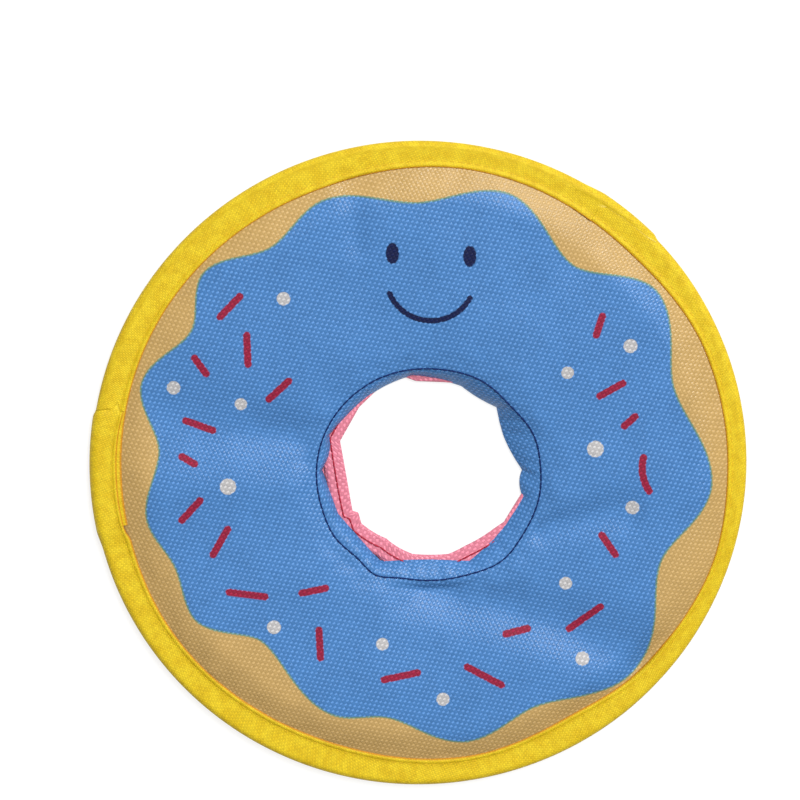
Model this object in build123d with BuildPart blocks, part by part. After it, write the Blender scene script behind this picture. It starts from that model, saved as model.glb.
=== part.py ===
"""A soft flying ring: two cloth covers over a hoop of spring wire, bound with tape at the rim.

Millimetres. The ring lies on its back: origin at the bottom centre, +Z up out of the printed
front, +Y towards the top of the print. Sections are drawn in an upright plane, with the radius
across and the height up, and turned about Z.
"""

import os
from math import cos, pi, radians, sin

from build123d import *

# Driving dimensions
ring_diameter = 200.0
hole_radius = 28.0
cloth = 0.5  # coarse polyester oxford
tape = 0.6  # woven binding tape
thread = 0.4

# Hoop: spring wire bent round, its two ends crimped in a sleeve, loose in the covers' channel
wire_radius = 0.8
sleeve_wall = 0.3
channel_radius = wire_radius + sleeve_wall
hoop_radius = ring_diameter / 2 - tape - cloth - channel_radius
hoop_joint_angle = 182.0
hoop_slit = 0.4  # degrees
sleeve_span = 14.0  # degrees

# Rim: the covers leave the channel on a hollow curve and meet inside it, where the tape is sewn
mid_z = channel_radius + cloth + 2 * tape  # the rim rests on a lap of the tape
reach = 5.0  # from the hoop's centre line to where the covers meet
meet_radius = hoop_radius - reach
hollow_radius = (reach**2 - channel_radius**2) / (2 * channel_radius)
tape_inner_radius = meet_radius - 1.4
rim_stitch_radius = meet_radius - 0.1
cover_edge_angle = 8.0  # each cover's cut edge stops this far short of the outermost line

# Laps of the two lengths of tape, in degrees, from start to end
left_lap = (169.5, 190.7)
right_lap = (44.3, 56.0)
jog_span = 1.0  # a tape climbs onto the other in this many degrees

# Covers between the rim and the hole, given by the middle of the cloth
part_radius = meet_radius - 2.0  # from here inwards the covers part
crown_radius = 74.0
crown_z = mid_z + 4.2
front_hem_z = mid_z + 2.0
back_flat_radius = 78.0

# Hems: the allowance is clipped and turned in, and the clips open into notches
allowance = 7.0
fold_gap = 0.3
fold_height = 2 * cloth + fold_gap
hem_outer_radius = hole_radius + allowance
hem_stitch_radius = hole_radius + 4.5
notch_tip_radius = hole_radius + 1.5
front_clips = 10
back_clips = 12
front_flap_z = front_hem_z + cloth / 2 - fold_height
back_flap_z = cloth + fold_gap

# Stitches
stitch_pitch = 2.5
stitch_length = 2.0


def upright_plane(angle):
    """The plane through the Z axis at an angle about it: radius across, height up."""
    across = (cos(radians(angle)), sin(radians(angle)), 0)
    normal = (sin(radians(angle)), -cos(radians(angle)), 0)
    return Plane(origin=(0, 0, 0), x_dir=across, z_dir=normal)


def rim_side(layer, side, start_angle, inner_radius):
    """A line round one side of the channel and flat inwards, layer away from the channel.

    side is 1 over the hoop or -1 under it, and start_angle is measured up from the outermost line.
    """
    around = channel_radius + layer
    spread = channel_radius + hollow_radius  # from the hoop's centre to the hollow's centre

    def at(radius, height):
        return (radius, mid_z + side * height)

    def over_hoop(angle):
        return at(hoop_radius + around * cos(radians(angle)), around * sin(radians(angle)))

    leave = at(hoop_radius - around * reach / spread, around * hollow_radius / spread)
    meet = at(meet_radius, layer)
    ThreePointArc(over_hoop(start_angle), over_hoop(75), leave)
    TangentArc(meet, leave, tangent=(1, 0))
    Line(meet, at(inner_radius, layer))


def s_curve(start, end):
    """Two equal arcs, level at both ends, from one radius and height inwards to another."""
    middle = ((start[0] + end[0]) / 2, (start[1] + end[1]) / 2)
    TangentArc(start, middle, tangent=(-1, 0))
    TangentArc(end, middle, tangent=(1, 0))


def hem_section(bottom_z):
    """The folded hem: two layers of cloth joined by the fold at the hole."""
    with Locations((hole_radius, bottom_z)):
        Rectangle(allowance, fold_height, align=(Align.MIN, Align.MIN))
    with Locations((hole_radius + cloth, bottom_z + cloth)):
        Rectangle(allowance, fold_gap, align=(Align.MIN, Align.MIN), mode=Mode.SUBTRACT)


def clip_notches(count, flap_z):
    """Cuts the opened clips out of the turned flap."""
    half_width = pi * allowance / count
    base_radius = hem_outer_radius + cloth
    with BuildSketch(Plane.XY.offset(flap_z)) as notches:
        with PolarLocations(0, count):
            Polygon(
                (notch_tip_radius, 0),
                (base_radius, -half_width),
                (base_radius, half_width),
                align=None,
            )
    extrude(notches.sketch, amount=cloth, mode=Mode.SUBTRACT)


def tape_turn(layer, thickness, start_angle, end_angle):
    """Tape folded over the rim between two angles, its inner face layer away from the channel."""
    with BuildSketch(upright_plane(start_angle)) as section:
        with BuildLine():
            for side in (1, -1):
                rim_side(layer, side, 0, tape_inner_radius)
                rim_side(layer + thickness, side, 0, tape_inner_radius)
                edge_z = mid_z + side * layer
                Line((tape_inner_radius, edge_z), (tape_inner_radius, edge_z + side * thickness))
        make_face()
    revolve(section.sketch, axis=Axis.Z, revolution_arc=end_angle - start_angle)


def stitches(radius, z, start_angle, end_angle):
    """A row of stitches along an arc, each a short length of thread lying at height z."""
    span = end_angle - start_angle
    count = round(radians(span) * radius / stitch_pitch)
    first = start_angle + span / count / 2
    with Locations((0, 0, z)):
        with PolarLocations(radius, count, first, span - span / count, endpoint=True):
            Cylinder(thread / 2, stitch_length, rotation=(90, 0, 0))


os.makedirs("parts", exist_ok=True)

# Front cover: crowned cloth, its edge laid over the hoop, its hem turned down at the hole
with BuildPart() as front_cover:
    with BuildSketch(Plane.XZ):
        with BuildLine():
            rim_side(cloth / 2, 1, cover_edge_angle, part_radius)
            s_curve((part_radius, mid_z + cloth / 2), (crown_radius, crown_z))
            s_curve((crown_radius, crown_z), (hem_outer_radius, front_hem_z))
        trace(line_width=cloth)
        hem_section(front_flap_z)
    revolve(axis=Axis.Z)
    clip_notches(front_clips, front_flap_z)
front_cover.part.label = "front_cover"
export_step(front_cover.part, "parts/front_cover.step")

# Back cover: it sinks to the ground inside the rim, and its hem is turned up at the hole
with BuildPart() as back_cover:
    with BuildSketch(Plane.XZ):
        with BuildLine():
            rim_side(cloth / 2, -1, cover_edge_angle, part_radius)
            s_curve((part_radius, mid_z - cloth / 2), (back_flat_radius, cloth / 2))
            Line((back_flat_radius, cloth / 2), (hem_outer_radius, cloth / 2))
        trace(line_width=cloth)
        hem_section(0)
    revolve(axis=Axis.Z)
    clip_notches(back_clips, back_flap_z)
back_cover.part.label = "back_cover"
export_step(back_cover.part, "parts/back_cover.step")

# Upper length of binding tape: under the lower one at the left lap, over it at the right lap
with BuildPart() as binding_upper:
    tape_turn(cloth, tape, right_lap[1] + jog_span, left_lap[1])
    tape_turn(cloth, 2 * tape, right_lap[1], right_lap[1] + jog_span)
    tape_turn(cloth + tape, tape, right_lap[0], right_lap[1])
binding_upper.part.label = "binding_upper"
export_step(binding_upper.part, "parts/binding_upper.step")

# Lower length of binding tape: over the upper one at the left lap, under it at the right lap
with BuildPart() as binding_lower:
    tape_turn(cloth + tape, tape, left_lap[0], left_lap[1])
    tape_turn(cloth, 2 * tape, left_lap[1], left_lap[1] + jog_span)
    tape_turn(cloth, tape, left_lap[1] + jog_span, 360 + right_lap[1])
binding_lower.part.label = "binding_lower"
export_step(binding_lower.part, "parts/binding_lower.step")

# Hoop: wire bent nearly all the way round
with BuildPart() as rim_hoop:
    with BuildSketch(upright_plane(hoop_joint_angle + hoop_slit / 2)):
        with Locations((hoop_radius, mid_z)):
            Circle(wire_radius)
    revolve(axis=Axis.Z, revolution_arc=360 - hoop_slit)
rim_hoop.part.label = "rim_hoop"
export_step(rim_hoop.part, "parts/rim_hoop.step")

# Sleeve: the short tube crimped over the wire's two ends
with BuildPart() as hoop_sleeve:
    with BuildSketch(upright_plane(hoop_joint_angle - sleeve_span / 2)):
        with Locations((hoop_radius, mid_z)):
            Circle(channel_radius)
            Circle(wire_radius, mode=Mode.SUBTRACT)
    revolve(axis=Axis.Z, revolution_arc=sleeve_span)
hoop_sleeve.part.label = "hoop_sleeve"
export_step(hoop_sleeve.part, "parts/hoop_sleeve.step")

# Binding stitching: through tape, covers and tape, seen on both sides, higher over the laps
single = cloth + tape + thread / 2
lapped = single + tape
with BuildPart() as binding_stitching:
    for side in (1, -1):
        stitches(rim_stitch_radius, mid_z + side * lapped, *right_lap)
        stitches(rim_stitch_radius, mid_z + side * single, right_lap[1] + jog_span, left_lap[0])
        stitches(rim_stitch_radius, mid_z + side * lapped, *left_lap)
        stitches(rim_stitch_radius, mid_z + side * single, left_lap[1] + jog_span, 360 + right_lap[0])
binding_stitching.part.label = "binding_stitching"
export_step(binding_stitching.part, "parts/binding_stitching.step")

# Hem stitching: on the front of the front cover, and on the turned flap of the back cover
with BuildPart() as front_hem_stitching:
    stitches(hem_stitch_radius, front_hem_z + cloth / 2 + thread / 2, 0, 360)
front_hem_stitching.part.label = "front_hem_stitching"
export_step(front_hem_stitching.part, "parts/front_hem_stitching.step")

with BuildPart() as back_hem_stitching:
    stitches(hem_stitch_radius, back_flap_z + cloth + thread / 2, 0, 360)
back_hem_stitching.part.label = "back_hem_stitching"
export_step(back_hem_stitching.part, "parts/back_hem_stitching.step")
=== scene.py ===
"""Looks of a soft flying ring: two printed cloth covers over a wire hoop, bound in tape at the rim.

Lengths are millimetres and angles are degrees about the ring's axis, counter-clockwise from +X.
add_piece turns the points into metres. Every surface is a grid with one column for each angle and
one row for each place along the section, from the rim to the hole.
"""

from math import cos, pi, radians, sin

import bpy
import numpy as np
from mathutils import Matrix, Vector


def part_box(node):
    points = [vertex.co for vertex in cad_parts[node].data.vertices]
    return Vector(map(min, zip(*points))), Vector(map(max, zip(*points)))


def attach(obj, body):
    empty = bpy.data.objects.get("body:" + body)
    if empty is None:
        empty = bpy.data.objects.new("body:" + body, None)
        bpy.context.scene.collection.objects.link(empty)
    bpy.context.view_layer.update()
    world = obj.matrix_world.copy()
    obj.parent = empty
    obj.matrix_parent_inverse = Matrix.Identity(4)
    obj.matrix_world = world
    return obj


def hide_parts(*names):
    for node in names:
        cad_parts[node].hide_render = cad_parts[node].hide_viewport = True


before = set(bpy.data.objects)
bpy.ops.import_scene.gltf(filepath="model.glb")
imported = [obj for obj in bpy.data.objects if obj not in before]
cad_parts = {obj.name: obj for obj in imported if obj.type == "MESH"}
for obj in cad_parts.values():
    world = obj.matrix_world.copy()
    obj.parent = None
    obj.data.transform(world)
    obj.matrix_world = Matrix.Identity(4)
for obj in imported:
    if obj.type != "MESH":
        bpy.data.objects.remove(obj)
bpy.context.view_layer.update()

MM = 0.001
FRONT = 1
BACK = -1

# The hoop, as model.glb holds it
hoop_low, hoop_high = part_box("rim_hoop")
wire_radius = (hoop_high.z - hoop_low.z) / 2 / MM
hoop_radius = hoop_high.x / MM - wire_radius
mid_z = (hoop_high.z + hoop_low.z) / 2 / MM

# Cloth, tape and thread
cloth = 0.5
tape = 0.6
tape_width = 22.0
thread = 0.5
stitch_pitch = 2.5
seam = 0.85  # half of what the sewn covers keep between them at the rim's stitch line

# Grids: the covers' columns and the tapes', in degrees
cover_step = 0.75
cover_angles = np.arange(0, 360, cover_step)
tape_step = 0.4

# Tape on the front, from the ring's outermost line to the tape's free edge: (angle, width)
front_widths = (
    (0, 6.1), (22, 6.3), (47, 8.6), (80, 7.4), (112, 9.3), (150, 8.9), (190, 9.4),
    (212, 8.9), (250, 10.0), (280, 8.4), (300, 9.6), (320, 6.9), (343, 5.4),
)
# Laps of the two lengths of tape, from start to end
left_lap = (169.5, 190.7)
right_lap = (44.3, 56.0)

# Hole: where the hems are stitched and folded, measured about the hole's centre
hole_centre = (2.2, 0.0)
hem_oval = (34.4, 33.2)  # the front stitch line's half width and half height
hem_oval_centre = (0.7, -1.5)  # from the hole's centre
# Where the stitch line leaves its oval: (angle, how far outwards, half the span)
hem_corners = (
    (243, 2.0, 9), (215, 0.8, 12), (308, 1.4, 14), (42, -1.4, 16), (85, -0.6, 22), (5, -0.5, 14),
)
# Folds: (angle of a clip, radius there, how far the side after it swells outwards)
front_fold = (
    (41, 28.4, -0.4), (67, 27.4, 0.5), (99, 29.0, 1.1), (136, 28.8, 0.2), (161, 31.6, -1.2),
    (181, 32.3, 0.0), (208, 30.8, 0.0), (244, 32.8, -0.5), (294, 32.0, 1.2), (343, 30.8, -0.8),
    (358, 29.5, -1.2),
)
back_fold = (
    (28, 31.5, 0.4), (56, 30.5, 0.0), (68, 28.6, 0.0), (80, 27.4, 0.0), (97, 27.5, 0.0),
    (103, 29.2, 0.0), (113, 29.6, 0.0), (124, 28.9, 0.0), (138, 28.5, 0.0), (163, 28.4, 0.0),
    (204, 26.2, 0.0), (211, 27.2, 0.0), (214, 26.0, 0.0), (221, 27.3, 0.4), (241, 26.2, 0.5),
    (261, 28.2, 0.3), (284, 28.7, 0.1), (296, 28.0, 0.3), (317, 28.9, 0.0), (324, 29.9, 0.0),
    (340, 30.3, 0.0), (352, 32.5, 0.0),
)
allowance = 7.0  # cloth turned in at the hole
fold_radius = 0.45
back_band = 2.5  # from the back cover's fold out to where its flat part starts

# Front cover: (angle, value) of its height at the hole's stitch line and at its crown, of the
# fold's drop below the stitch line, and of how late the band between them turns down
hem_heights = ((12, 5.7), (50, 7.2), (100, 5.9), (190, 5.5), (250, 5.4), (310, 5.2))
crown_heights = ((40, 7.4), (130, 7.6), (220, 7.6), (310, 7.8))
fold_drops = ((12, 3.4), (50, 5.1), (110, 3.4), (200, 3.0), (270, 2.8), (320, 3.0))
fold_turns = ((40, 1.1), (120, 1.3), (215, 2.6), (270, 1.3))
crown_share = 0.8  # of the way from the hole's stitch line to the rim's
hem_slope = 2.8
groove_slope = -4.0
cover_width = 60  # from stitch line to stitch line
stitch_hollows = ((0.3, 0.9), (0.8, 4))  # (depth, width) by the hole's stitch line

# Back cover: its gap over the floor, and how far it has sunk to a height by the tape's back edge
floor_gap = 0.3
sunk_share = 0.6
sunk_z = 1.0

# Rows of a cover from the outside in: over the rim as rim_point takes them, the main part to the
# hole's stitch line, the band to the fold, and the fold. The flap follows the last rows back
cover_rim_shares = (0.08, 0.2, 0.32, 0.44, 0.56, 0.68, 0.8, 0.9, 1, 1.33, 1.66, 2)
main_rows = {FRONT: 55, BACK: 45}
band_rows = {FRONT: 10, BACK: 5}
fold_rows = 5
flap_rows = 14


def rotation(angle):
    """Unit vectors at angles, as an array with a last axis of two."""
    turned = np.radians(angle)
    return np.stack([np.cos(turned), np.sin(turned)], -1)


def ease(t):
    """0 to 1, level at both ends."""
    t = np.clip(t, 0, 1)
    return t * t * (3 - 2 * t)


def around(angles, knots):
    """Values round the ring that ease from each knot to the next, level at each one."""
    knots = sorted(knots)
    first = knots[0]
    knots = knots + [(first[0] + 360, first[1])]
    wrapped = (np.asarray(angles, float) - first[0]) % 360 + first[0]
    values = np.zeros_like(wrapped)
    for (start, low), (end, high) in zip(knots, knots[1:]):
        inside = (wrapped >= start) & (wrapped <= end)
        values[inside] = low + (high - low) * ease((wrapped[inside] - start) / (end - start))
    return values


def apart(angles, angle):
    """How far angles lie from an angle, the short way round."""
    return (np.asarray(angles, float) - angle + 180) % 360 - 180


def clipped_edge(angles, corners):
    """Radii of a fold whose sides run from clip to clip, each swelling by its own amount."""
    radii = np.zeros_like(angles)
    for (start, near, swell), (end, far, _) in zip(corners, corners[1:] + corners[:1]):
        span = (end - start) % 360
        along = (angles - start) % 360
        inside = along <= span
        before = np.radians(along[inside])
        after = np.radians(span - along[inside])
        chord = near * far * sin(radians(span)) / (near * np.sin(before) + far * np.sin(after))
        share = along[inside] / span
        radii[inside] = chord + swell * 4 * share * (1 - share)
    return radii


def ripples(x, y, wavelength, seed, waves=20):
    """Smooth unevenness of about unit height: plane waves that run in random directions."""
    random = np.random.default_rng(seed)
    total = np.zeros_like(x)
    for direction, phase, stretch in random.random((waves, 3)):
        turn = direction * 2 * pi
        length = wavelength * (0.7 + stretch)
        total += np.sin((x * cos(turn) + y * sin(turn)) * 2 * pi / length + phase * 2 * pi)
    return total / np.sqrt(waves / 2)


# Rim

# Where the front shows no more tape than tight_width, it is sewn close to the hoop
tight_width = 5.5
tight_channel = 0.85
channel_slack = 0.25
# Tape between the stitch line and the free edge, and how much more where it is wide or lapped
edge_beyond_stitches = 1.5
wide_edge_gain = 0.4
lap_edge_gain = 1.2
lap_caught_nearer = 1.5
left_lap_middle = 182


def tape_front_width(angles):
    return around(angles, front_widths)


def channel_radius(angles):
    """The covers' channel is tighter where the tape is sewn close to the hoop."""
    return tight_channel + channel_slack * ease((tape_front_width(angles) - tight_width) / 3)


def free_edge(angles):
    """Tape between the stitch line and the front's free edge."""
    wide = ease((tape_front_width(angles) - tight_width) / 2)
    lap = np.exp(-((apart(angles, left_lap_middle) / 11) ** 4))
    return edge_beyond_stitches + wide_edge_gain * wide + lap_edge_gain * lap


def groove_reach(angles):
    """From the hoop's centre line inwards to the stitch line."""
    outside = channel_radius(angles) + cloth + tape
    return tape_front_width(angles) - outside - free_edge(angles)


def groove_radius(angles):
    return hoop_radius - groove_reach(angles)


def hoop_turn(angles, layer):
    """How far round the hoop a layer goes before it leaves it, and its straight run inwards."""
    around_hoop = channel_radius(angles) + layer
    reach = groove_reach(angles)
    rise = layer + seam
    distance = np.hypot(reach, rise)
    turn = pi - np.arctan2(rise, reach) - np.arccos(around_hoop / distance)
    return turn, np.sqrt(distance**2 - around_hoop**2)


def rim_point(angles, layer, side, share):
    """(radius, height) of a layer at a share of its way from the outermost line to the stitch line.

    share is 0 at the outermost line, 1 where the layer leaves the hoop and 2 at the stitch line.
    """
    turn, _ = hoop_turn(angles, layer)
    around_hoop = channel_radius(angles) + layer
    bend = turn * min(share, 1)
    over = np.stack([hoop_radius + around_hoop * np.cos(bend), around_hoop * np.sin(bend)], -1)
    groove = np.stack([groove_radius(angles), (layer + seam) * np.ones_like(turn)], -1)
    point = over + (groove - over) * max(share - 1, 0)
    point[..., 1] = mid_z + side * point[..., 1]
    return point


# Covers


def stitch_oval(angles):
    """Points of the front hem's stitch line."""
    half_width, half_height = hem_oval
    swell = sum(
        size * np.exp(-((apart(angles, at) / width) ** 2)) for at, size, width in hem_corners
    )
    oval = rotation(angles) * [half_width, half_height] + rotation(angles) * swell[:, None]
    return oval + np.add(hole_centre, hem_oval_centre)


# Hollows in the front cover that the stitching pulls out, and one ridge: start, end, how far the
# line bows to its left, (left, right) width at the start, (left, right) width at the end, height
creases = (
    ((-4, -36), (77, -66), 4.5, (4.6, 8.5), (13.0, 7.0), -2.4),
    ((34, -20), (66, -12), 1.0, (3.0, 4.0), (6.5, 7.5), -1.6),
    ((-82, 18), (-33, 10), 0.0, (16.0, 13.5), (5.6, 5.2), -2.2),
    ((-34, -6), (-84, -5), 0.0, (6.0, 6.0), (8.0, 8.0), 0.8),
    ((-20, 92), (-19, 66), 0.0, (5.0, 5.0), (3.0, 3.0), -0.7),
)


def crease(x, y, start, end, bow, start_widths, end_widths, height):
    """A ridge, or a hollow where height is below zero, that fades out at both its ends."""
    run = np.subtract(end, start)
    length = np.hypot(*run)
    along = ((x - start[0]) * run[0] + (y - start[1]) * run[1]) / length**2
    left = ((y - start[1]) * run[0] - (x - start[0]) * run[1]) / length
    across = left - bow * 4 * along * (1 - along)
    share = np.clip(along, 0, 1)
    left_width, right_width = (
        near + (far - near) * share for near, far in zip(start_widths, end_widths)
    )
    width = np.where(across > 0, left_width, right_width)
    fade = ease((along + 0.1) / 0.2) * ease((1.15 - along) / 0.3)
    return height * fade * np.exp(-((across / width) ** 2))


def front_relief(x, y, share):
    """Height of the front cover over its plain section: creases, puckers and general unevenness."""
    relief = sum(crease(x, y, *one) for one in creases)
    relief += 0.15 * ripples(x, y, wavelength=34, seed=3)
    relief += 0.05 * ripples(x, y, wavelength=13, seed=4)
    by_rim = np.exp(-(((1 - share) / 0.1) ** 2))
    by_hem = np.exp(-((share / 0.12) ** 2))
    relief += 0.1 * by_rim * ripples(x, y, wavelength=9, seed=5)
    relief += 0.12 * by_hem * ripples(x, y, wavelength=7, seed=6)
    return relief * ease(share / 0.06) * ease((1 - share) / 0.06)


def back_relief(x, y, share):
    """Height of the back cover over the level: a slight unevenness."""
    relief = 0.12 * ripples(x, y, wavelength=26, seed=13) + 0.12
    return relief * ease(share / 0.1) * ease((1 - share) / 0.1)


def hermite(share, heights, slopes):
    """A cubic between two heights, with its slope given at each."""
    low, high = heights
    rise_low, rise_high = slopes
    square = share * share
    cube = square * share
    return (
        (2 * cube - 3 * square + 1) * low
        + (cube - 2 * square + share) * rise_low
        + (3 * square - 2 * cube) * high
        + (cube - square) * rise_high
    )


def front_height(share, groove_z, crown_z, hem_z):
    """Height of the front cover from the stitch line at the hole, 0, to the one at the rim, 1."""
    inner = share / crown_share
    outer = (share - crown_share) / (1 - crown_share)
    return np.where(
        share < crown_share,
        hermite(inner, (hem_z, crown_z), (hem_slope, 0.0)),
        hermite(outer, (crown_z, groove_z), (0.0, groove_slope)),
    )


def turned_hem(rows, fold_side):
    """The fold at the hole and the flap that returns along the last rows.

    rows are points from outside to the fold. fold_side is 1 where the flap lies below them and -1
    where it lies above.
    """

    def offset(row, push):
        return np.concatenate([row[:, :2] + inward * push[:, :1], row[:, 2:] + push[:, 1:]], -1)

    step = np.gradient(rows, axis=0)
    inward = -rotation(cover_angles)
    run = (step[..., :2] * inward).sum(-1)
    slope = np.stack([run, step[..., 2]], -1)
    slope /= np.linalg.norm(slope, axis=-1, keepdims=True)
    normal = np.stack([slope[..., 1], -slope[..., 0]], -1) * fold_side
    made = []
    for bend in np.linspace(0, pi, fold_rows + 2)[1:-1]:
        push = fold_radius * ((1 - cos(bend)) * normal[-1] + sin(bend) * slope[-1])
        made.append(offset(rows[-1], push))
    for row, away in zip(rows[::-1], normal[::-1]):
        made.append(offset(row, 2 * fold_radius * away))
    return np.array(made)


def flat_lengths(rows):
    """Length along each column, from the first row."""
    steps = np.linalg.norm(np.diff(rows, axis=0), axis=-1)
    return np.concatenate([np.zeros((1, rows.shape[1])), np.cumsum(steps, axis=0)])


def with_height(plan, height):
    """Points from their places in plan and their heights."""
    return np.concatenate([plan, height[..., None]], -1)


def front_rows_inwards(groove):
    """The front cover's main part, and the band that drops from its stitch line to the fold."""
    angles = cover_angles
    hem_line = stitch_oval(angles)
    spread = np.linspace(0, 1, main_rows[FRONT] + 1)[1:]
    shares = 1 - (0.55 * spread + 0.45 * (0.5 - 0.5 * np.cos(pi * spread)))
    plan = hem_line + shares[:, None, None] * (groove[:, :2] - hem_line)
    share = shares[:, None] * np.ones(len(angles))
    hem_z = around(angles, hem_heights)
    height = front_height(share, groove[:, 2], around(angles, crown_heights), hem_z)
    height += front_relief(plan[..., 0], plan[..., 1], share)
    from_hem = share * cover_width
    height -= sum(depth * np.exp(-((from_hem / width) ** 2)) for depth, width in stitch_hollows)
    fold = np.add(hole_centre, rotation(angles) * clipped_edge(angles, front_fold)[:, None])
    band = np.linspace(0, 1, band_rows[FRONT] + 1)[1:, None]
    bulge = np.sin(pi * band)
    uneven = ripples(angles / 10, angles * 0, wavelength=0.8, seed=8)
    puff = 0.25 * bulge + 0.1 * bulge * uneven
    band_plan = hem_line + (fold - hem_line) * band[..., None]
    drop = around(angles, fold_drops)
    band_z = height[-1] - drop * band ** around(angles, fold_turns) + puff
    return with_height(plan, height), with_height(band_plan, band_z)


def back_rows_inwards(groove):
    """The back cover's main part, which rests on the floor, and the level band to its fold."""
    angles = cover_angles
    outward = rotation(angles)
    fold = np.add(hole_centre, outward * clipped_edge(angles, back_fold)[:, None])
    hem_line = fold + outward * back_band
    shares = 1 - np.linspace(0, 1, main_rows[BACK] + 1)[1:]
    plan = hem_line + shares[:, None, None] * (groove[:, :2] - hem_line)
    share = shares[:, None] * np.ones(len(angles))
    edge = back_edge_share(angles, groove, hem_line)
    level = cloth / 2 + floor_gap
    from_rim = ease((1 - share) / (1 - edge + 0.02))
    under_tape = groove[:, 2] - (groove[:, 2] - sunk_z) * from_rim * sunk_share
    height = level + (under_tape - level) * ease((share - edge + 0.24) / 0.24)
    height += back_relief(plan[..., 0], plan[..., 1], share)
    band = np.linspace(0, 1, band_rows[BACK] + 1)[1:, None]
    band_plan = hem_line + (fold - hem_line) * band[..., None]
    band_z = np.broadcast_to(height[-1], band_plan.shape[:2])
    return with_height(plan, height), with_height(band_plan, band_z)


def cover(side):
    """A cover's rows from its edge over the hoop to the cut edge of its flap.

    With them come their places in the flat cloth and the faces that its clips leave out, which
    start clip_depth rows into the flap.
    """
    outward = rotation(cover_angles)
    rim = np.array([rim_point(cover_angles, cloth / 2, side, share) for share in cover_rim_shares])
    rim = with_height(rim[..., :1] * outward, rim[..., 1])
    main, band = front_rows_inwards(rim[-1]) if side == FRONT else back_rows_inwards(rim[-1])
    followed = np.concatenate([main[len(band) - flap_rows :], band])
    flap = trim_flap(turned_hem(followed, side))
    rows = np.concatenate([rim, main, band, flap])
    flat = flat_places(rows, len(rim), len(rim) + len(main))
    flap_start = len(rim) + len(main) + len(band) + fold_rows
    clips, clip_depth = (front_fold, 2) if side == FRONT else (back_fold, 7)
    return rows, flat, clip_faces(rows, flap_start + clip_depth, clips)


def back_edge_share(angles, groove, hem_line):
    """Where the tape's back edge lies between the hole's stitch line, 0, and the rim's, 1."""
    run = np.linalg.norm(groove[:, :2] - hem_line, axis=-1)
    return 1 - (back_free_edge(angles) + 0.5) / run


def trim_flap(flap):
    """The flap ends at its allowance."""
    length = flat_lengths(flap)[:, 0]
    return flap[: int((length < allowance).sum())]


def flat_places(rows, rim_rows, main_end):
    """Where each point lay in the flat cloth: in plan over the main part, by length past it."""
    outward = rotation(cover_angles)
    flat = np.array(rows[..., :2])
    outer = rows[:rim_rows][::-1]
    flat[:rim_rows] = (outer[0, :, :2] + flat_lengths(outer)[..., None] * outward)[::-1]
    inner = rows[main_end - 1 :]
    flat[main_end - 1 :] = inner[0, :, :2] - flat_lengths(inner)[..., None] * outward
    return flat


def clip_faces(rows, first_row, corners):
    """The faces that the opened clips leave out of the flap, wider towards its cut edge."""
    gone = set()
    middles = cover_angles + cover_step / 2
    for angle, _, _ in corners:
        for row in range(first_row, len(rows) - 1):
            half_width = 1.2 * (row - first_row + 1)
            near = np.flatnonzero(np.abs(apart(middles, angle)) < half_width)
            gone.update((row, column) for column in near)
    return gone


# Printed pattern, by places in the flat cloth

# The icing's wavy edge: (angle, radius) of each crest and trough
icing_edge = (
    (18, 81), (37, 90), (54, 78), (73, 88.5), (91, 82), (109, 87.5), (123, 82), (137, 89),
    (148, 81.5), (162, 88.5), (176, 79.5), (190, 84.5), (202, 80.5), (213, 83), (228, 72),
    (251, 81), (262, 78), (280, 86.5), (295, 82), (316, 92), (339, 79), (357, 89),
)
sprinkle_width = 2.25
# (x, y), length, direction
sprinkles = (
    ((-57.2, 50.6), 10.8, 46), ((53.9, 44.6), 8.2, 72), ((-52.1, 37.4), 11.1, 92),
    ((-66.3, 32.5), 8.1, 125), ((-42.7, 25.0), 10.4, 43), ((57.8, 24.9), 10.2, 30),
    ((63.5, 15.2), 6.6, 43), ((-66.9, 13.9), 10.9, 160), ((-70.3, 3.5), 6.6, 150),
    ((-69.6, -11.8), 10.6, 48), ((-60.8, -21.8), 11.4, 60), ((57.6, -23.3), 9.4, 125),
    ((-32.5, -37.3), 9.6, 11), ((-52.8, -38.2), 13.3, 172), ((50.6, -46.3), 14.2, 38),
    ((29.7, -50.6), 9.1, 13), ((-30.7, -54.0), 10.9, 93), ((19.8, -64.2), 14.2, 152),
    ((-5.9, -64.1), 12.7, 11),
)
bent_sprinkle = ((67.8, 4.0), (69.7, -6.4), 1.1)  # its ends and its sag
# (x, y), diameter
dots = (
    ((-41.1, 52.9), 4.1), ((63.4, 38.3), 4.3), ((44.5, 30.2), 3.9), ((-74.5, 25.7), 4.2),
    ((53.2, 6.6), 5.1), ((-58.3, -4.5), 5.0), ((64.8, -11.7), 4.3), ((-44.7, -48.6), 4.3),
    ((-11.5, -54.1), 3.9), ((49.9, -59.0), 4.3), ((7.1, -71.5), 4.1), ((-54.2, 20.6), 3.8),
    ((44.6, -35.3), 4.0),
)
# A plain smiling face
eyes = ((-8.4, 66.6), (14.8, 65.7))
eye_size = (6.5, 4.0)
smile_ends = ((-9.2, 54.4), (14.9, 53.0))
smile_sag = 7.6
smile_line = 1.75


def srgb(red, green, blue):
    """A shader colour from the 0 to 255 values that a screen shows."""
    shown = np.array([red, green, blue]) / 255
    linear = np.where(shown <= 0.04045, shown / 12.92, ((shown + 0.055) / 1.055) ** 2.4)
    return (*linear, 1.0)


red_ink = srgb(138, 24, 54)
white_ink = srgb(180, 178, 178)
navy_ink = srgb(6, 18, 62)


# A mark is how flat places turn into (along, across) from its middle line, that line's half
# length, the mark's half width and its ink


def turned_places(points, place, direction):
    away = points - place
    return away @ rotation(direction), away @ rotation(direction + 90)


def straight_mark(place, length, width, direction, ink):
    """A rounded stroke."""

    def coordinates(points):
        return np.stack(turned_places(points, place, direction), -1)

    return coordinates, (length - width) / 2, width / 2, ink


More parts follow.
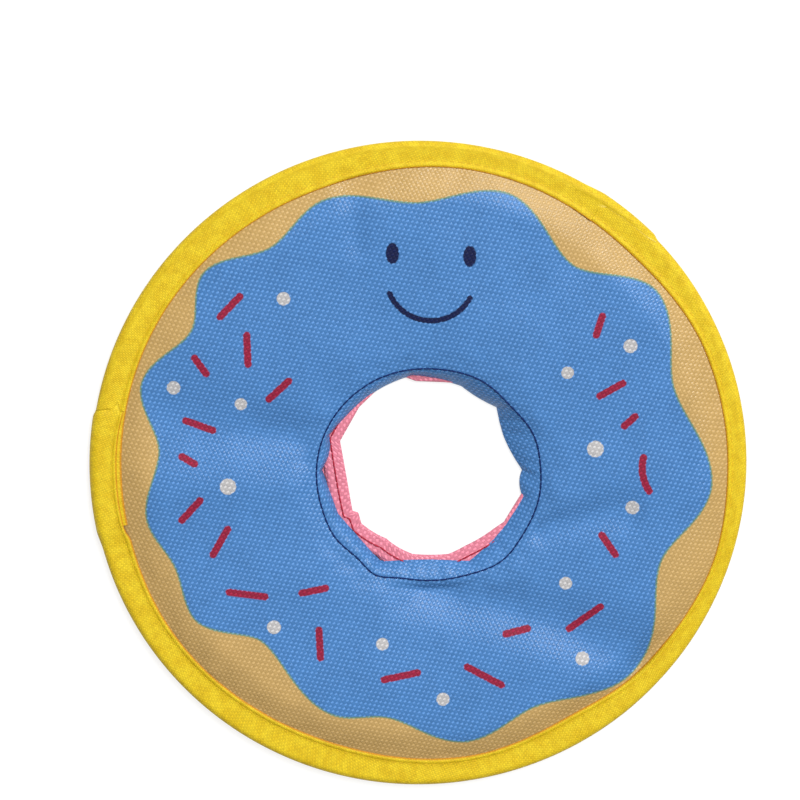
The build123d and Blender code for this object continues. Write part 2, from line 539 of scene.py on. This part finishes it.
def oval_mark(place, length, width, direction, ink):
    """A filled oval, as a dot in places that are drawn in along its length."""

    def coordinates(points):
        along, across = turned_places(points, place, direction)
        return np.stack([along * width / length, across], -1)

    return coordinates, 0.0, width / 2, ink


def arc_mark(start, end, sag, width, ink):
    """A rounded stroke along an arc, given by its ends and how far it sags."""
    start, end = np.array(start), np.array(end)
    chord = np.linalg.norm(end - start)
    radius = (chord**2 / 4 + sag**2) / (2 * sag)
    level = (end - start) / chord
    up = np.array([-level[1], level[0]])
    centre = (start + end) / 2 + up * (radius - sag)
    half_turn = np.arcsin(chord / 2 / radius)

    def coordinates(points):
        away = points - centre
        turn = np.arctan2(away @ level, -(away @ up))
        return np.stack([turn * radius, np.linalg.norm(away, axis=-1) - radius], -1)

    return coordinates, half_turn * radius, width / 2, ink


def printed_marks(face):
    """The sprinkles and dots, and on one side the face."""
    marks = [
        straight_mark(p, length, sprinkle_width, turn, red_ink) for p, length, turn in sprinkles
    ]
    marks.append(arc_mark(*bent_sprinkle, sprinkle_width, red_ink))
    marks += [straight_mark(p, size, size, 0, white_ink) for p, size in dots]
    if face:
        marks += [oval_mark(p, *eye_size, 90, navy_ink) for p in eyes]
        marks.append(arc_mark(*smile_ends, smile_sag, smile_line, navy_ink))
    return marks


def icing_depth(flat):
    """How far inside the icing's wavy edge each place lies."""
    angle = np.degrees(np.arctan2(flat[..., 1], flat[..., 0]))
    edge = around(angle, icing_edge)
    slope = (around(angle + 0.5, icing_edge) - around(angle - 0.5, icing_edge)) / np.radians(1)
    depth = edge - np.linalg.norm(flat, axis=-1)
    return depth / np.sqrt(1 + (slope / edge) ** 2)


def print_cloth(mesh, flat, face):
    """Stores how deep in the icing each point lies, and on each face its nearest mark."""
    points = flat.reshape(-1, 2)
    store(mesh, "icing", "FLOAT", "POINT", icing_depth(points))
    corners = np.zeros(len(mesh.loops), np.int64)
    mesh.loops.foreach_get("vertex_index", corners)
    corners = corners.reshape(-1, 4)
    middles = points[corners].mean(1)
    marks = printed_marks(face)
    gaps = []
    for coordinates, half_length, radius, _ in marks:
        along, across = np.moveaxis(coordinates(middles), -1, 0)
        gaps.append(np.hypot(np.maximum(np.abs(along) - half_length, 0), across) - radius)
    nearest = np.argmin(gaps, axis=0)
    places = np.zeros((len(corners), 4, 3))
    for index, (coordinates, _, _, _) in enumerate(marks):
        chosen = nearest == index
        places[chosen, :, :2] = coordinates(points[corners[chosen]])
    sizes = np.array([(half_length, radius, 0) for _, half_length, radius, _ in marks])
    inks = np.array([ink for _, _, _, ink in marks])
    store(mesh, "mark_place", "FLOAT_VECTOR", "CORNER", places)
    store(mesh, "mark_size", "FLOAT_VECTOR", "FACE", sizes[nearest])
    store(mesh, "mark_ink", "FLOAT_COLOR", "FACE", inks[nearest])


# Meshes


def store(mesh, name, kind, domain, values):
    """Adds an attribute to a mesh."""
    key = {"FLOAT": "value", "FLOAT_VECTOR": "vector", "FLOAT_COLOR": "color"}[kind]
    attribute = mesh.attributes.new(name, kind, domain)
    attribute.data.foreach_set(key, np.asarray(values, np.float32).ravel())


def grid_faces(rows, columns, closed, gone=()):
    """Quads between neighbouring rows and columns. closed joins the last column to the first."""
    last = columns if closed else columns - 1
    row, column = np.meshgrid(np.arange(rows - 1), np.arange(last), indexing="ij")
    if gone:
        kept = np.ones(row.shape, bool)
        kept[tuple(np.array(sorted(gone)).T)] = False
        row, column = row[kept], column[kept]
    row, column = row.ravel(), column.ravel()
    beside = (column + 1) % columns
    near = row * columns
    far = near + columns
    return np.stack([near + column, far + column, far + beside, near + beside], -1)


def add_piece(name, points, faces, material, slot, flat=None):
    """A smooth mesh piece on the ring's one body. flat is where its points lay in flat cloth."""
    mesh = bpy.data.meshes.new(name)
    mesh.from_pydata((points.reshape(-1, 3) * MM).tolist(), [], faces.tolist())
    mesh.update()
    mesh.shade_smooth()
    mesh.materials.append(material)
    if flat is not None:
        flat = flat.reshape(-1, 2)
        store(mesh, "flat", "FLOAT_VECTOR", "POINT", np.column_stack([flat, np.zeros(len(flat))]))
    piece = bpy.data.objects.new(name, mesh)
    bpy.context.scene.collection.objects.link(piece)
    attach(piece, "root")
    return piece


def add_cover(name, side, shape, material, slot, face):
    """A printed cover from its rows, flat places and clipped faces, as thick as its cloth."""
    rows, flat, gone = shape
    faces = grid_faces(*rows.shape[:2], True, gone)
    if side == BACK:
        faces = faces[:, ::-1]
    piece = add_piece(name, rows, faces, material, slot, flat)
    print_cloth(piece.data, flat, face)
    thicken = piece.modifiers.new("cloth thickness", "SOLIDIFY")
    thicken.thickness = cloth * MM
    thicken.offset = 0
    return piece


# Binding tape


def back_free_edge(angles):
    """What is left of the tape's width beyond the stitch line on the back."""
    layer = cloth + tape
    turn, straight = hoop_turn(angles, layer)
    used = free_edge(angles) + 2 * straight + 2 * turn * (channel_radius(angles) + layer)
    return tape_width - used


def front_free_edge(angles, lift):
    """The tape that laps over the other at the left is caught nearer its own edge."""
    over = ease(lift / tape) * np.exp(-((apart(angles, left_lap_middle) / 14) ** 4))
    return free_edge(angles) - lap_caught_nearer * over


def cover_height(cover_rows, angles, radius):
    """Height of a cover's middle at a radius on each angle."""
    columns = len(cover_angles)
    plan = np.linalg.norm(cover_rows[..., :2], axis=-1)
    heights = []
    for angle, at in zip(angles, radius):
        place = (angle % 360) / 360 * columns
        before = int(place) % columns
        after = (before + 1) % columns
        low, high = (np.interp(-at, -plan[:, c], cover_rows[:, c, 2]) for c in (before, after))
        heights.append(low + (high - low) * (place - int(place)))
    return np.array(heights)


# The tape's rows: the front's free edge, the front of the rim, the back of it, the back's free edge
front_edge_shares = np.linspace(1, 0, 9)[:-1]
tape_rim_shares = (2, 1.8, 1.55, 1.3, 1, 0.88, 0.77, 0.66, 0.55, 0.44, 0.33, 0.22, 0.11, 0)
back_edge_shares = np.linspace(0, 1, 10)[1:]
tape_row_count = len(front_edge_shares) + 2 * len(tape_rim_shares) - 1 + len(back_edge_shares)
edge_puff = 0.14  # the front's edge rises between the stitches and its end,
edge_sink = 0.12  # and is pulled down by the stitches
tape_underside = 0.03  # between the tape's inner face and the cloth


def tape_points(turned, thickness, lift_at, covers):
    """One face of the tape. turned and thickness hold each row's angles and its offset outwards."""
    places = [(FRONT, "edge", share) for share in front_edge_shares]
    places += [(FRONT, "rim", share) for share in tape_rim_shares]
    places += [(BACK, "rim", share) for share in tape_rim_shares[-2::-1]]
    places += [(BACK, "edge", share) for share in back_edge_shares]
    rows = []
    for angles, thick, (side, part, share) in zip(turned, thickness, places):
        lift = tape * lift_at(angles)
        layer = cloth + lift + thick
        if part == "rim":
            row = rim_point(angles, layer, side, share)
        else:
            edge = front_free_edge(angles, lift) if side == FRONT else back_free_edge(angles)
            radius = groove_radius(angles) - edge * share
            thin = thick * 0.7 * ease((share - 0.5) / 0.5)
            above = layer - thin - cloth / 2
            if side == FRONT:
                pull = edge_sink * np.exp(-((share / 0.15) ** 2))
                above = above + (edge_puff * sin(pi * share) - 0.05 * share - pull)
            row = np.stack([radius, cover_height(covers[side], angles, radius) + side * above], -1)
        rows.append(np.concatenate([row[..., :1] * rotation(angles), row[..., 1:]], -1))
    return np.array(rows)


def add_tape(name, start, end, lift_at, cut, taper, fray, covers, material):
    """A length of tape between two angles.

    cut, taper and fray are given for each row: the angle its start is cut back by, the columns over
    which it thins out towards its start, and how pale the cut yarns look there.
    """
    along = np.arange(start, end + tape_step / 2, tape_step)
    cut_span = 30
    near_start = ease((start + cut_span - along) / cut_span)
    turned = along + cut[:, None] * near_start
    from_start = np.arange(len(along))
    thickness = tape * (0.1 + 0.9 * ease(from_start / taper[:, None]))
    outer = tape_points(turned, thickness, lift_at, covers)
    inner = tape_points(turned, np.full_like(turned, tape_underside), lift_at, covers)
    points = np.concatenate([outer, inner[::-1]])
    rows, columns = points.shape[:2]
    across = np.linalg.norm(np.diff(outer, axis=0), axis=-1).mean(1)
    across = np.concatenate([[0], np.cumsum(across)])
    flat = np.stack(np.broadcast_arrays(np.radians(turned) * hoop_radius, across[:, None]), -1)
    flat = np.concatenate([flat, flat[::-1]])
    order = np.arange(rows * columns).reshape(rows, columns).T.ravel()
    faces = order[grid_faces(columns, rows, True)][:, ::-1]
    caps = []  # at both ends
    for column, turn in ((0, 1), (columns - 1, -1)):
        for row in range(rows // 2 - 1):
            ring = (row, row + 1, rows - 2 - row, rows - 1 - row)
            caps.append([r * columns + column for r in ring][::turn])
    faces = np.concatenate([faces, np.array(caps)])
    piece = add_piece(name, points, faces, material, "yellow_tape", flat)
    pale = fray[:, None] * ease((3 - from_start) / 3)
    store(piece.data, "fray", "FLOAT", "POINT", np.concatenate([pale, pale[::-1]]))
    return piece


# Stitches

stitch_stations = 7
stitch_sides = 6
stitch_gap = 0.03  # left free at each end, as a share of the pitch


def stitch_mesh(tubes):
    """Mesh arrays of stitches. A tube has a ring of six points at each station and closed ends."""
    points = []
    faces = []
    first = 0
    for tube in tubes:
        points.append(tube.reshape(-1, 3))
        faces.append(grid_faces(stitch_stations, stitch_sides, True) + first)
        start = first + np.arange(stitch_sides)
        end = start + (stitch_stations - 1) * stitch_sides
        for ring in (start, end[::-1]):
            faces.append(ring[None, [0, 1, 2, 3]])
            faces.append(ring[None, [3, 4, 5, 0]])
        first += stitch_stations * stitch_sides
    return np.concatenate(points), np.concatenate(faces)


def stitches(path, angles, up, rise, dip):
    """Tubes of thread along a line, one for each stitch, from the angles where they end.

    A stitch's middle stands rise above the line, and its ends dip below that.
    """
    stations = np.linspace(0, 1, stitch_stations)
    turns = np.arange(stitch_sides) * 2 * pi / stitch_sides
    tubes = []
    for start, end in zip(angles, angles[1:]):
        gap = (end - start) * stitch_gap
        line = path(np.linspace(start + gap, end - gap, len(stations)))
        line[:, 2] += up * (dip * np.sin(pi * stations) ** 0.5 - dip + rise)
        along = np.gradient(line, axis=0)
        along /= np.linalg.norm(along, axis=1, keepdims=True)
        side = np.cross(along, [0, 0, 1.0])
        side /= np.linalg.norm(side, axis=1, keepdims=True)
        top = np.cross(side, along)
        thick = thread / 2 * (0.7 + 0.3 * np.sin(pi * stations) ** 0.4)
        circle = np.cos(turns)[:, None] * side[:, None] + np.sin(turns)[:, None] * top[:, None]
        tubes.append(line[:, None] + thick[:, None, None] * circle)
    return tubes


def even_angles(radius):
    """The ends of a full turn's stitches on a circle of a radius."""
    count = round(2 * pi * radius / stitch_pitch)
    return np.linspace(0, 360, count + 1)


# Materials


class Nodes:
    """Adds nodes to one material. An input is a plain value or another node's output."""

    def __init__(self, name):
        self.material = bpy.data.materials.new(name)
        self.material.use_nodes = True
        self.tree = self.material.node_tree
        self.shader = self.tree.nodes["Principled BSDF"]

    def put(self, node, inputs):
        for key, value in inputs.items():
            if isinstance(value, bpy.types.NodeSocket):
                self.tree.links.new(value, node.inputs[key])
            else:
                node.inputs[key].default_value = value
        return node

    def add(self, kind, inputs=None, **settings):
        node = self.tree.nodes.new(kind)
        for key, value in settings.items():
            setattr(node, key, value)
        return self.put(node, inputs or {})

    def math(self, operation, *values):
        return self.add("ShaderNodeMath", dict(enumerate(values)), operation=operation).outputs[0]

    def plus(self, first, second):
        return self.math("ADD", first, second)

    def times(self, first, second):
        return self.math("MULTIPLY", first, second)

    def attribute(self, name, output="Vector"):
        return self.add("ShaderNodeAttribute", attribute_name=name).outputs[output]

    def mix(self, share, first, second, blend="MIX"):
        inputs = {0: share, 6: first, 7: second}
        return self.add("ShaderNodeMix", inputs, data_type="RGBA", blend_type=blend).outputs[2]

    def brighten(self, colour, factor):
        grey = self.add("ShaderNodeCombineXYZ", {0: factor, 1: factor, 2: factor}).outputs[0]
        return self.mix(1.0, colour, grey, "MULTIPLY")

    def bump(self, height, distance, strength=1.0):
        """distance is in millimetres."""
        inputs = {"Strength": strength, "Distance": distance * MM, "Height": height}
        return self.add("ShaderNodeBump", inputs).outputs[0]

    def finish(self, colour, roughness, normal, specular):
        """Joins the surface up to the shader, and gives the material."""
        inputs = {"Base Color": colour, "Roughness": roughness, "Normal": normal}
        self.put(self.shader, {**inputs, "Specular IOR Level": specular})
        return self.material

    def split(self, vector):
        return self.add("ShaderNodeSeparateXYZ", {0: vector}).outputs

    def fade(self, value, low, high, start=0.0, end=1.0):
        """start where value is low or less, end where it is high or more, smooth between."""
        node = self.add(
            "ShaderNodeMapRange",
            {"Value": value, "From Min": low, "From Max": high, "To Min": start, "To Max": end},
            interpolation_type="SMOOTHSTEP",
        )
        return node.outputs[0]

    def noise(self, vector, scale, detail=2.0):
        node = self.add("ShaderNodeTexNoise", {"Vector": vector, "Scale": scale, "Detail": detail})
        return node.outputs[0]


def weave(nodes, place, turn, pitches):
    """Plain weave: how far up a place is on a yarn of each set, and its place counted in yarns."""
    x, y, _ = nodes.split(place)
    waves = []
    cells = []
    for direction, pitch in zip((turn, turn + 90), pitches):
        across = nodes.plus(
            nodes.times(x, cos(radians(direction)) / pitch),
            nodes.times(y, sin(radians(direction)) / pitch),
        )
        cells.append(across)
        waves.append(nodes.math("SINE", nodes.times(across, pi)))
    over = nodes.times(*waves)
    across, along = (nodes.math("ABSOLUTE", wave) for wave in waves)
    crowns = []
    for profile, run, shown in ((across, along, 0.25), (along, across, -0.25)):
        crown = nodes.times(profile, nodes.math("POWER", run, 0.6))
        crowns.append(nodes.times(crown, nodes.fade(over, 0.0, shown)))
    return (*crowns, cells)


def yarn_grain(nodes, cells):
    """A value for each yarn crossing."""
    floors = [nodes.math("FLOOR", cell) for cell in cells]
    crossing = nodes.add("ShaderNodeCombineXYZ", {0: floors[0], 1: floors[1]}).outputs[0]
    return nodes.add("ShaderNodeTexWhiteNoise", {0: crossing}, noise_dimensions="2D").outputs[0]


def inside_mark(nodes, jitter):
    """1 on the printed mark that lies nearest and 0 off it, with an edge that follows the yarns."""
    along, across, _ = nodes.split(nodes.attribute("mark_place"))
    half_length, radius, _ = nodes.split(nodes.attribute("mark_size"))
    past_end = nodes.math("SUBTRACT", nodes.math("ABSOLUTE", along), half_length)
    past_end = nodes.math("MAXIMUM", past_end, 0.0)
    ends = nodes.times(past_end, past_end)
    sides = nodes.times(across, across)
    gap = nodes.math("SQRT", nodes.plus(ends, sides))
    gap = nodes.plus(nodes.math("SUBTRACT", gap, radius), jitter)
    return nodes.fade(gap, -0.18, 0.18, 1.0, 0.0)


# Direction of the first set of yarns, and the pitch of both sets
oxford_turn = -62
oxford_pitches = (0.86, 1.10)
tape_turn = 20
tape_pitches = (0.55, 0.6)


def oxford_material(name, dough, icing, icing_line, glint):
    """Coarse printed polyester oxford, with painted light and shade on its weave. glint is how far
    its raised yarns whiten: a painted sheen on the yarn crowns.
    """
    nodes = Nodes(name)
    place = nodes.attribute("flat")
    raised, behind, cells = weave(nodes, place, oxford_turn, oxford_pitches)
    height = nodes.plus(raised, nodes.times(behind, 0.55))
    random = yarn_grain(nodes, cells)
    depth = nodes.attribute("icing", "Fac")
    jitter = nodes.times(raised, 0.15)
    depth = nodes.plus(depth, jitter)
    colour = nodes.mix(nodes.fade(depth, -0.2, 0.2), dough, icing_line)
    colour = nodes.mix(nodes.fade(depth, 0.25, 0.75), colour, icing)
    # Painted sheen: white mixed into the raised yarn crowns, as much as glint gives
    colour = nodes.mix(nodes.times(raised, glint), colour, (1.0, 1.0, 1.0, 1.0))
    inside = inside_mark(nodes, jitter)
    colour = nodes.mix(inside, colour, nodes.attribute("mark_ink", "Color"))
    # Painted highlight on the raised yarn crowns and painted shade in the gaps between yarns, with
    # a random tone for each crossing and a faint patchiness
    painted_yarn_shade_and_tone = nodes.plus(nodes.times(raised, 0.46), nodes.times(random, 0.1))
    painted_yarn_shade_and_tone = nodes.math("SUBTRACT", painted_yarn_shade_and_tone, 0.2)
    painted_yarn_shade_and_tone = nodes.times(painted_yarn_shade_and_tone, nodes.fade(depth, 0.0, 0.6, 0.6, 1.0))  # less on the dough
    patchy = nodes.noise(place, 0.09, 3.0)
    painted_yarn_shade_and_tone = nodes.plus(painted_yarn_shade_and_tone, nodes.fade(patchy, 0.3, 0.7, -0.03, 0.03))
    colour = nodes.brighten(colour, nodes.plus(painted_yarn_shade_and_tone, 1.0))
    roughness = nodes.fade(random, 0.0, 1.0, 0.24, 0.34)
    roughness = nodes.plus(roughness, nodes.times(inside, 0.3))
    return nodes.finish(colour, roughness, nodes.bump(height, 0.1), 0.22)


def tape_material():
    """Woven polyester binding tape, with painted highlights on its raised yarns, painted shade in
    orange-brown along its front edge, and pale where it is frayed.
    """
    nodes = Nodes("yellow_tape")
    place = nodes.attribute("flat")
    raised, behind, cells = weave(nodes, place, tape_turn, tape_pitches)
    height = nodes.plus(raised, nodes.times(behind, 0.7))
    random = yarn_grain(nodes, cells)
    patchy = nodes.noise(place, 0.25, 3.0)
    colour = nodes.mix(nodes.fade(patchy, 0.35, 0.65), srgb(202, 170, 22), srgb(212, 184, 32))
    # Painted shade: an orange-brown darkening along the tape's front free edge, where it stands
    # over the cover
    colour = nodes.mix(nodes.fade(nodes.split(place)[1], 0.1, 0.7), srgb(190, 128, 24), colour)
    frayed = nodes.times(nodes.attribute("fray", "Fac"), 0.6)
    colour = nodes.mix(frayed, colour, srgb(214, 190, 110))
    mottle = nodes.fade(nodes.noise(place, 1.1, 3.0), 0.3, 0.7, -0.06, 0.06)
    # Painted highlight on the tape's raised yarn crowns, with a random tone for each crossing and a
    # mottle
    painted_yarn_shade_and_tone = nodes.plus(nodes.times(raised, 0.22), nodes.times(random, 0.12))
    colour = nodes.brighten(colour, nodes.plus(nodes.plus(painted_yarn_shade_and_tone, mottle), 0.88))
    return nodes.finish(colour, 0.55, nodes.bump(height, 0.07), 0.2)


def thread_material(name, colour):
    """Spun polyester thread."""
    nodes = Nodes(name)
    place = nodes.add("ShaderNodeNewGeometry").outputs["Position"]
    fuzz = nodes.noise(place, 2500.0, 2.0)
    darker = (*(0.75 * channel for channel in colour[:3]), 1.0)
    shade = nodes.mix(nodes.fade(fuzz, 0.3, 0.7), colour, darker)
    return nodes.finish(shade, 0.6, nodes.bump(fuzz, 0.05, strength=0.4), 0.15)


def steel_material(name, roughness):
    """Drawn steel, a little uneven in its gloss."""
    nodes = Nodes(name)
    place = nodes.add("ShaderNodeNewGeometry").outputs["Position"]
    wear = nodes.fade(nodes.noise(place, 300.0, 3.0), 0.3, 0.7, roughness - 0.06, roughness + 0.06)
    nodes.put(nodes.shader, {"Base Color": srgb(176, 178, 182), "Metallic": 1.0, "Roughness": wear})
    return nodes.material


def floor_material():
    """A plain pale floor that glows faintly, so that shadows on it stay light."""
    nodes = Nodes("pale_floor")
    dull = {"Base Color": (0.25, 0.25, 0.25, 1.0), "Roughness": 0.9, "Specular IOR Level": 0.1}
    glow = {"Emission Color": (1.0, 1.0, 1.0, 1.0), "Emission Strength": 0.78}
    nodes.put(nodes.shader, {**dull, **glow})
    return nodes.material


# Pieces

# Dough, icing and the line between them
blue_inks = (srgb(182, 149, 91), srgb(68, 120, 178), srgb(96, 130, 112))
pink_inks = (srgb(186, 152, 88), srgb(214, 124, 143), srgb(196, 134, 118))
blue_print = oxford_material("blue_print_cloth", *blue_inks, glint=0.032)
pink_print = oxford_material("pink_print_cloth", *pink_inks, glint=0.02)

front = cover(FRONT)
back = cover(BACK)
front_rows = front[0]
back_rows = back[0]

front_cover = add_cover("printed_front_cover", FRONT, front, blue_print, "blue_print_cloth", True)
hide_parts("front_cover")
back_cover = add_cover("printed_back_cover", BACK, back, pink_print, "pink_print_cloth", False)
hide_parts("back_cover")

# The covers' rows from the rim's stitch line inwards, for the tapes' free edges to follow
by_tape = slice(len(cover_rim_shares) - 1, 40)
covers = {FRONT: front_rows[by_tape], BACK: back_rows[by_tape]}

yellow_tape = tape_material()


def upper_lift(angles):
    """1 over the right lap and 0 from 5 degrees past it."""
    return ease((right_lap[1] + 5 - angles) / 5)


def lower_lift(angles):
    """1 over the left lap and 0 from 4 degrees past it."""
    return ease((left_lap[1] + 4 - angles) / 4)


# How each tape starts, row by row. The upper one is cut off on a slant between rows 11 and 16, on
# the front of the rim, and frayed there. The lower one is cut nearly square
tape_rows = np.arange(tape_row_count)
slanted_cut = np.interp(tape_rows, (11, 12, 13, 14, 16), (11.7, 10.8, 6.5, 1.5, 0))
slanted_taper = np.interp(tape_rows, (11, 12, 13, 14, 15, 16, 18), (13, 15, 28, 32, 22, 12, 3))
slanted_fray = np.interp(tape_rows, (11, 12, 16, 17), (0, 1, 1, 0))
square_cut = np.interp(tape_rows, (0, 8, 9, 10, 13, 22), (-1.1, -1.1, -2.6, -1.1, -0.6, 0))
square_taper = np.full(tape_row_count, 3.0)
no_fray = np.zeros(tape_row_count)
upper_start = (upper_lift, slanted_cut, slanted_taper, slanted_fray)
lower_start = (lower_lift, square_cut, square_taper, no_fray)
upper_span = (right_lap[0], left_lap[1])
lower_span = (left_lap[0], 360 + right_lap[1])
hidden_end = 1  # more of the lower tape, under the upper one
tape_upper = add_tape("tape_upper", *upper_span, *upper_start, covers, yellow_tape)
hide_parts("binding_upper")
lower_end = lower_span[1] + hidden_end
tape_lower = add_tape("tape_lower", lower_span[0], lower_end, *lower_start, covers, yellow_tape)
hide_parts("binding_lower")


def rim_stitch_path(side):
    """The stitch line over the tape. At the right lap only the back has two tapes under it."""

    def path(angles):
        angles = np.asarray(angles) % 360
        lapped = lower_lift(angles) * (angles > left_lap[0])
        if side == BACK:
            over = (angles > right_lap[0]) & (angles < left_lap[0])
            lapped = lapped + upper_lift(angles) * over
        layer = cloth + seam + tape * (1 + lapped)
        plan = groove_radius(angles)[:, None] * rotation(angles)
        return with_height(plan, mid_z + side * layer)

    return path


rim_stitch_ends = even_angles(92.7)
hem_stitch_ends = even_angles(34)
flap_stitch_ends = even_angles(31)

rim_tubes = []
for side in (FRONT, BACK):
    rim_tubes += stitches(rim_stitch_path(side), rim_stitch_ends, side, rise=-0.12, dip=0.25)
yellow_thread = thread_material("yellow_thread", srgb(214, 176, 34))
rim_mesh = stitch_mesh(rim_tubes)
tape_stitching = add_piece("tape_stitching", *rim_mesh, yellow_thread, "yellow_thread")
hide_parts("binding_stitching")


def row_path(rows, row):
    """A line along one row of a cover, just clear of its cloth."""
    lift = cloth / 2 + 0.05

    def path(angles):
        place = np.asarray(angles) / 360 * len(cover_angles)
        columns = np.arange(len(cover_angles) + 1)
        looped = np.concatenate([rows[row], rows[row][:1]])
        points = np.stack([np.interp(place, columns, looped[:, axis]) for axis in range(3)], -1)
        points[:, 2] += lift
        return points

    return path


hem_row = len(cover_rim_shares) + main_rows[FRONT] - 1
hem_tubes = stitches(row_path(front_rows, hem_row), hem_stitch_ends, FRONT, rise=0.14, dip=0.2)
blue_thread = thread_material("dark_blue_thread", srgb(12, 38, 96))
hem_mesh = stitch_mesh(hem_tubes)
hem_stitching = add_piece("blue_hem_stitching", *hem_mesh, blue_thread, "dark_blue_thread")
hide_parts("front_hem_stitching")

flap_row = len(cover_rim_shares) + main_rows[BACK] + band_rows[BACK] + fold_rows + 5
flap_tubes = stitches(row_path(back_rows, flap_row), flap_stitch_ends, FRONT, rise=0.1, dip=0.16)
red_thread = thread_material("red_thread", srgb(170, 40, 60))
flap_mesh = stitch_mesh(flap_tubes)
flap_stitching = add_piece("red_hem_stitching", *flap_mesh, red_thread, "red_thread")
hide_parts("back_hem_stitching")

for node, roughness in (("rim_hoop", 0.3), ("hoop_sleeve", 0.42)):
    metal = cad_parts[node]
    metal.data.materials.clear()
    metal.data.materials.append(steel_material(node + "_steel", roughness))


# Stage


def add_floor(half):
    """A square floor, half its side long each way from the origin."""
    corners = [(-half, -half, 0), (half, -half, 0), (half, half, 0), (-half, half, 0)]
    mesh = bpy.data.meshes.new("floor")
    mesh.from_pydata(corners, [], [(0, 1, 2, 3)])
    mesh.materials.append(floor_material())
    floor = bpy.data.objects.new("floor", mesh)
    bpy.context.scene.collection.objects.link(floor)


def add_area_light(name, direction, elevation, distance, size, power):
    """A square soft light that points at the ring."""
    data = bpy.data.lights.new(name, "AREA")
    data.shape = "SQUARE"
    data.size = size
    data.energy = power
    light = bpy.data.objects.new(name, data)
    away = Vector((*(rotation(direction) * cos(radians(elevation))), sin(radians(elevation))))
    light.location = away * distance
    light.rotation_euler = away.to_track_quat("Z", "Y").to_euler()
    bpy.context.scene.collection.objects.link(light)


def add_world(horizon, zenith):
    """White light from all round, of one strength at the horizon and another overhead."""
    world = bpy.data.worlds.new("studio")
    world.use_nodes = True
    tree = world.node_tree
    direction = tree.nodes.new("ShaderNodeTexCoord")
    split = tree.nodes.new("ShaderNodeSeparateXYZ")
    strength = tree.nodes.new("ShaderNodeMapRange")
    strength.inputs["To Min"].default_value = horizon
    strength.inputs["To Max"].default_value = zenith
    background = tree.nodes["Background"]
    background.inputs["Color"].default_value = (1, 1, 1, 1)
    tree.links.new(direction.outputs["Generated"], split.inputs[0])
    tree.links.new(split.outputs["Z"], strength.inputs["Value"])
    tree.links.new(strength.outputs[0], background.inputs["Strength"])
    bpy.context.scene.world = world


def add_camera(azimuth, elevation, distance, target, lens):
    """A camera that looks at a point from a direction, with the print's +Y upwards."""
    back = Vector((*(rotation(azimuth) * cos(radians(elevation))), sin(radians(elevation))))
    right = (-back).cross(Vector((0, 1, 0))).normalized()
    up = back.cross(right)
    data = bpy.data.cameras.new("camera")
    data.lens = lens
    data.sensor_width = 36
    camera = bpy.data.objects.new("camera", data)
    camera.matrix_world = Matrix.Translation(Vector(target) * MM + back * distance) @ Matrix(
        (right, up, back)
    ).transposed().to_4x4()
    bpy.context.scene.collection.objects.link(camera)
    bpy.context.scene.camera = camera


add_floor(half=1.5)
add_world(horizon=0.0, zenith=0.68)
add_area_light("key", direction=60, elevation=50, distance=4.0, size=2.0, power=170.0)
add_area_light("glint", direction=48, elevation=67, distance=4.0, size=0.3, power=24.0)
add_camera(azimuth=95, elevation=79.9, distance=0.95, target=(-6.05, 21.16, 3.0), lens=140.8)
bpy.context.scene.view_settings.view_transform = "Standard"
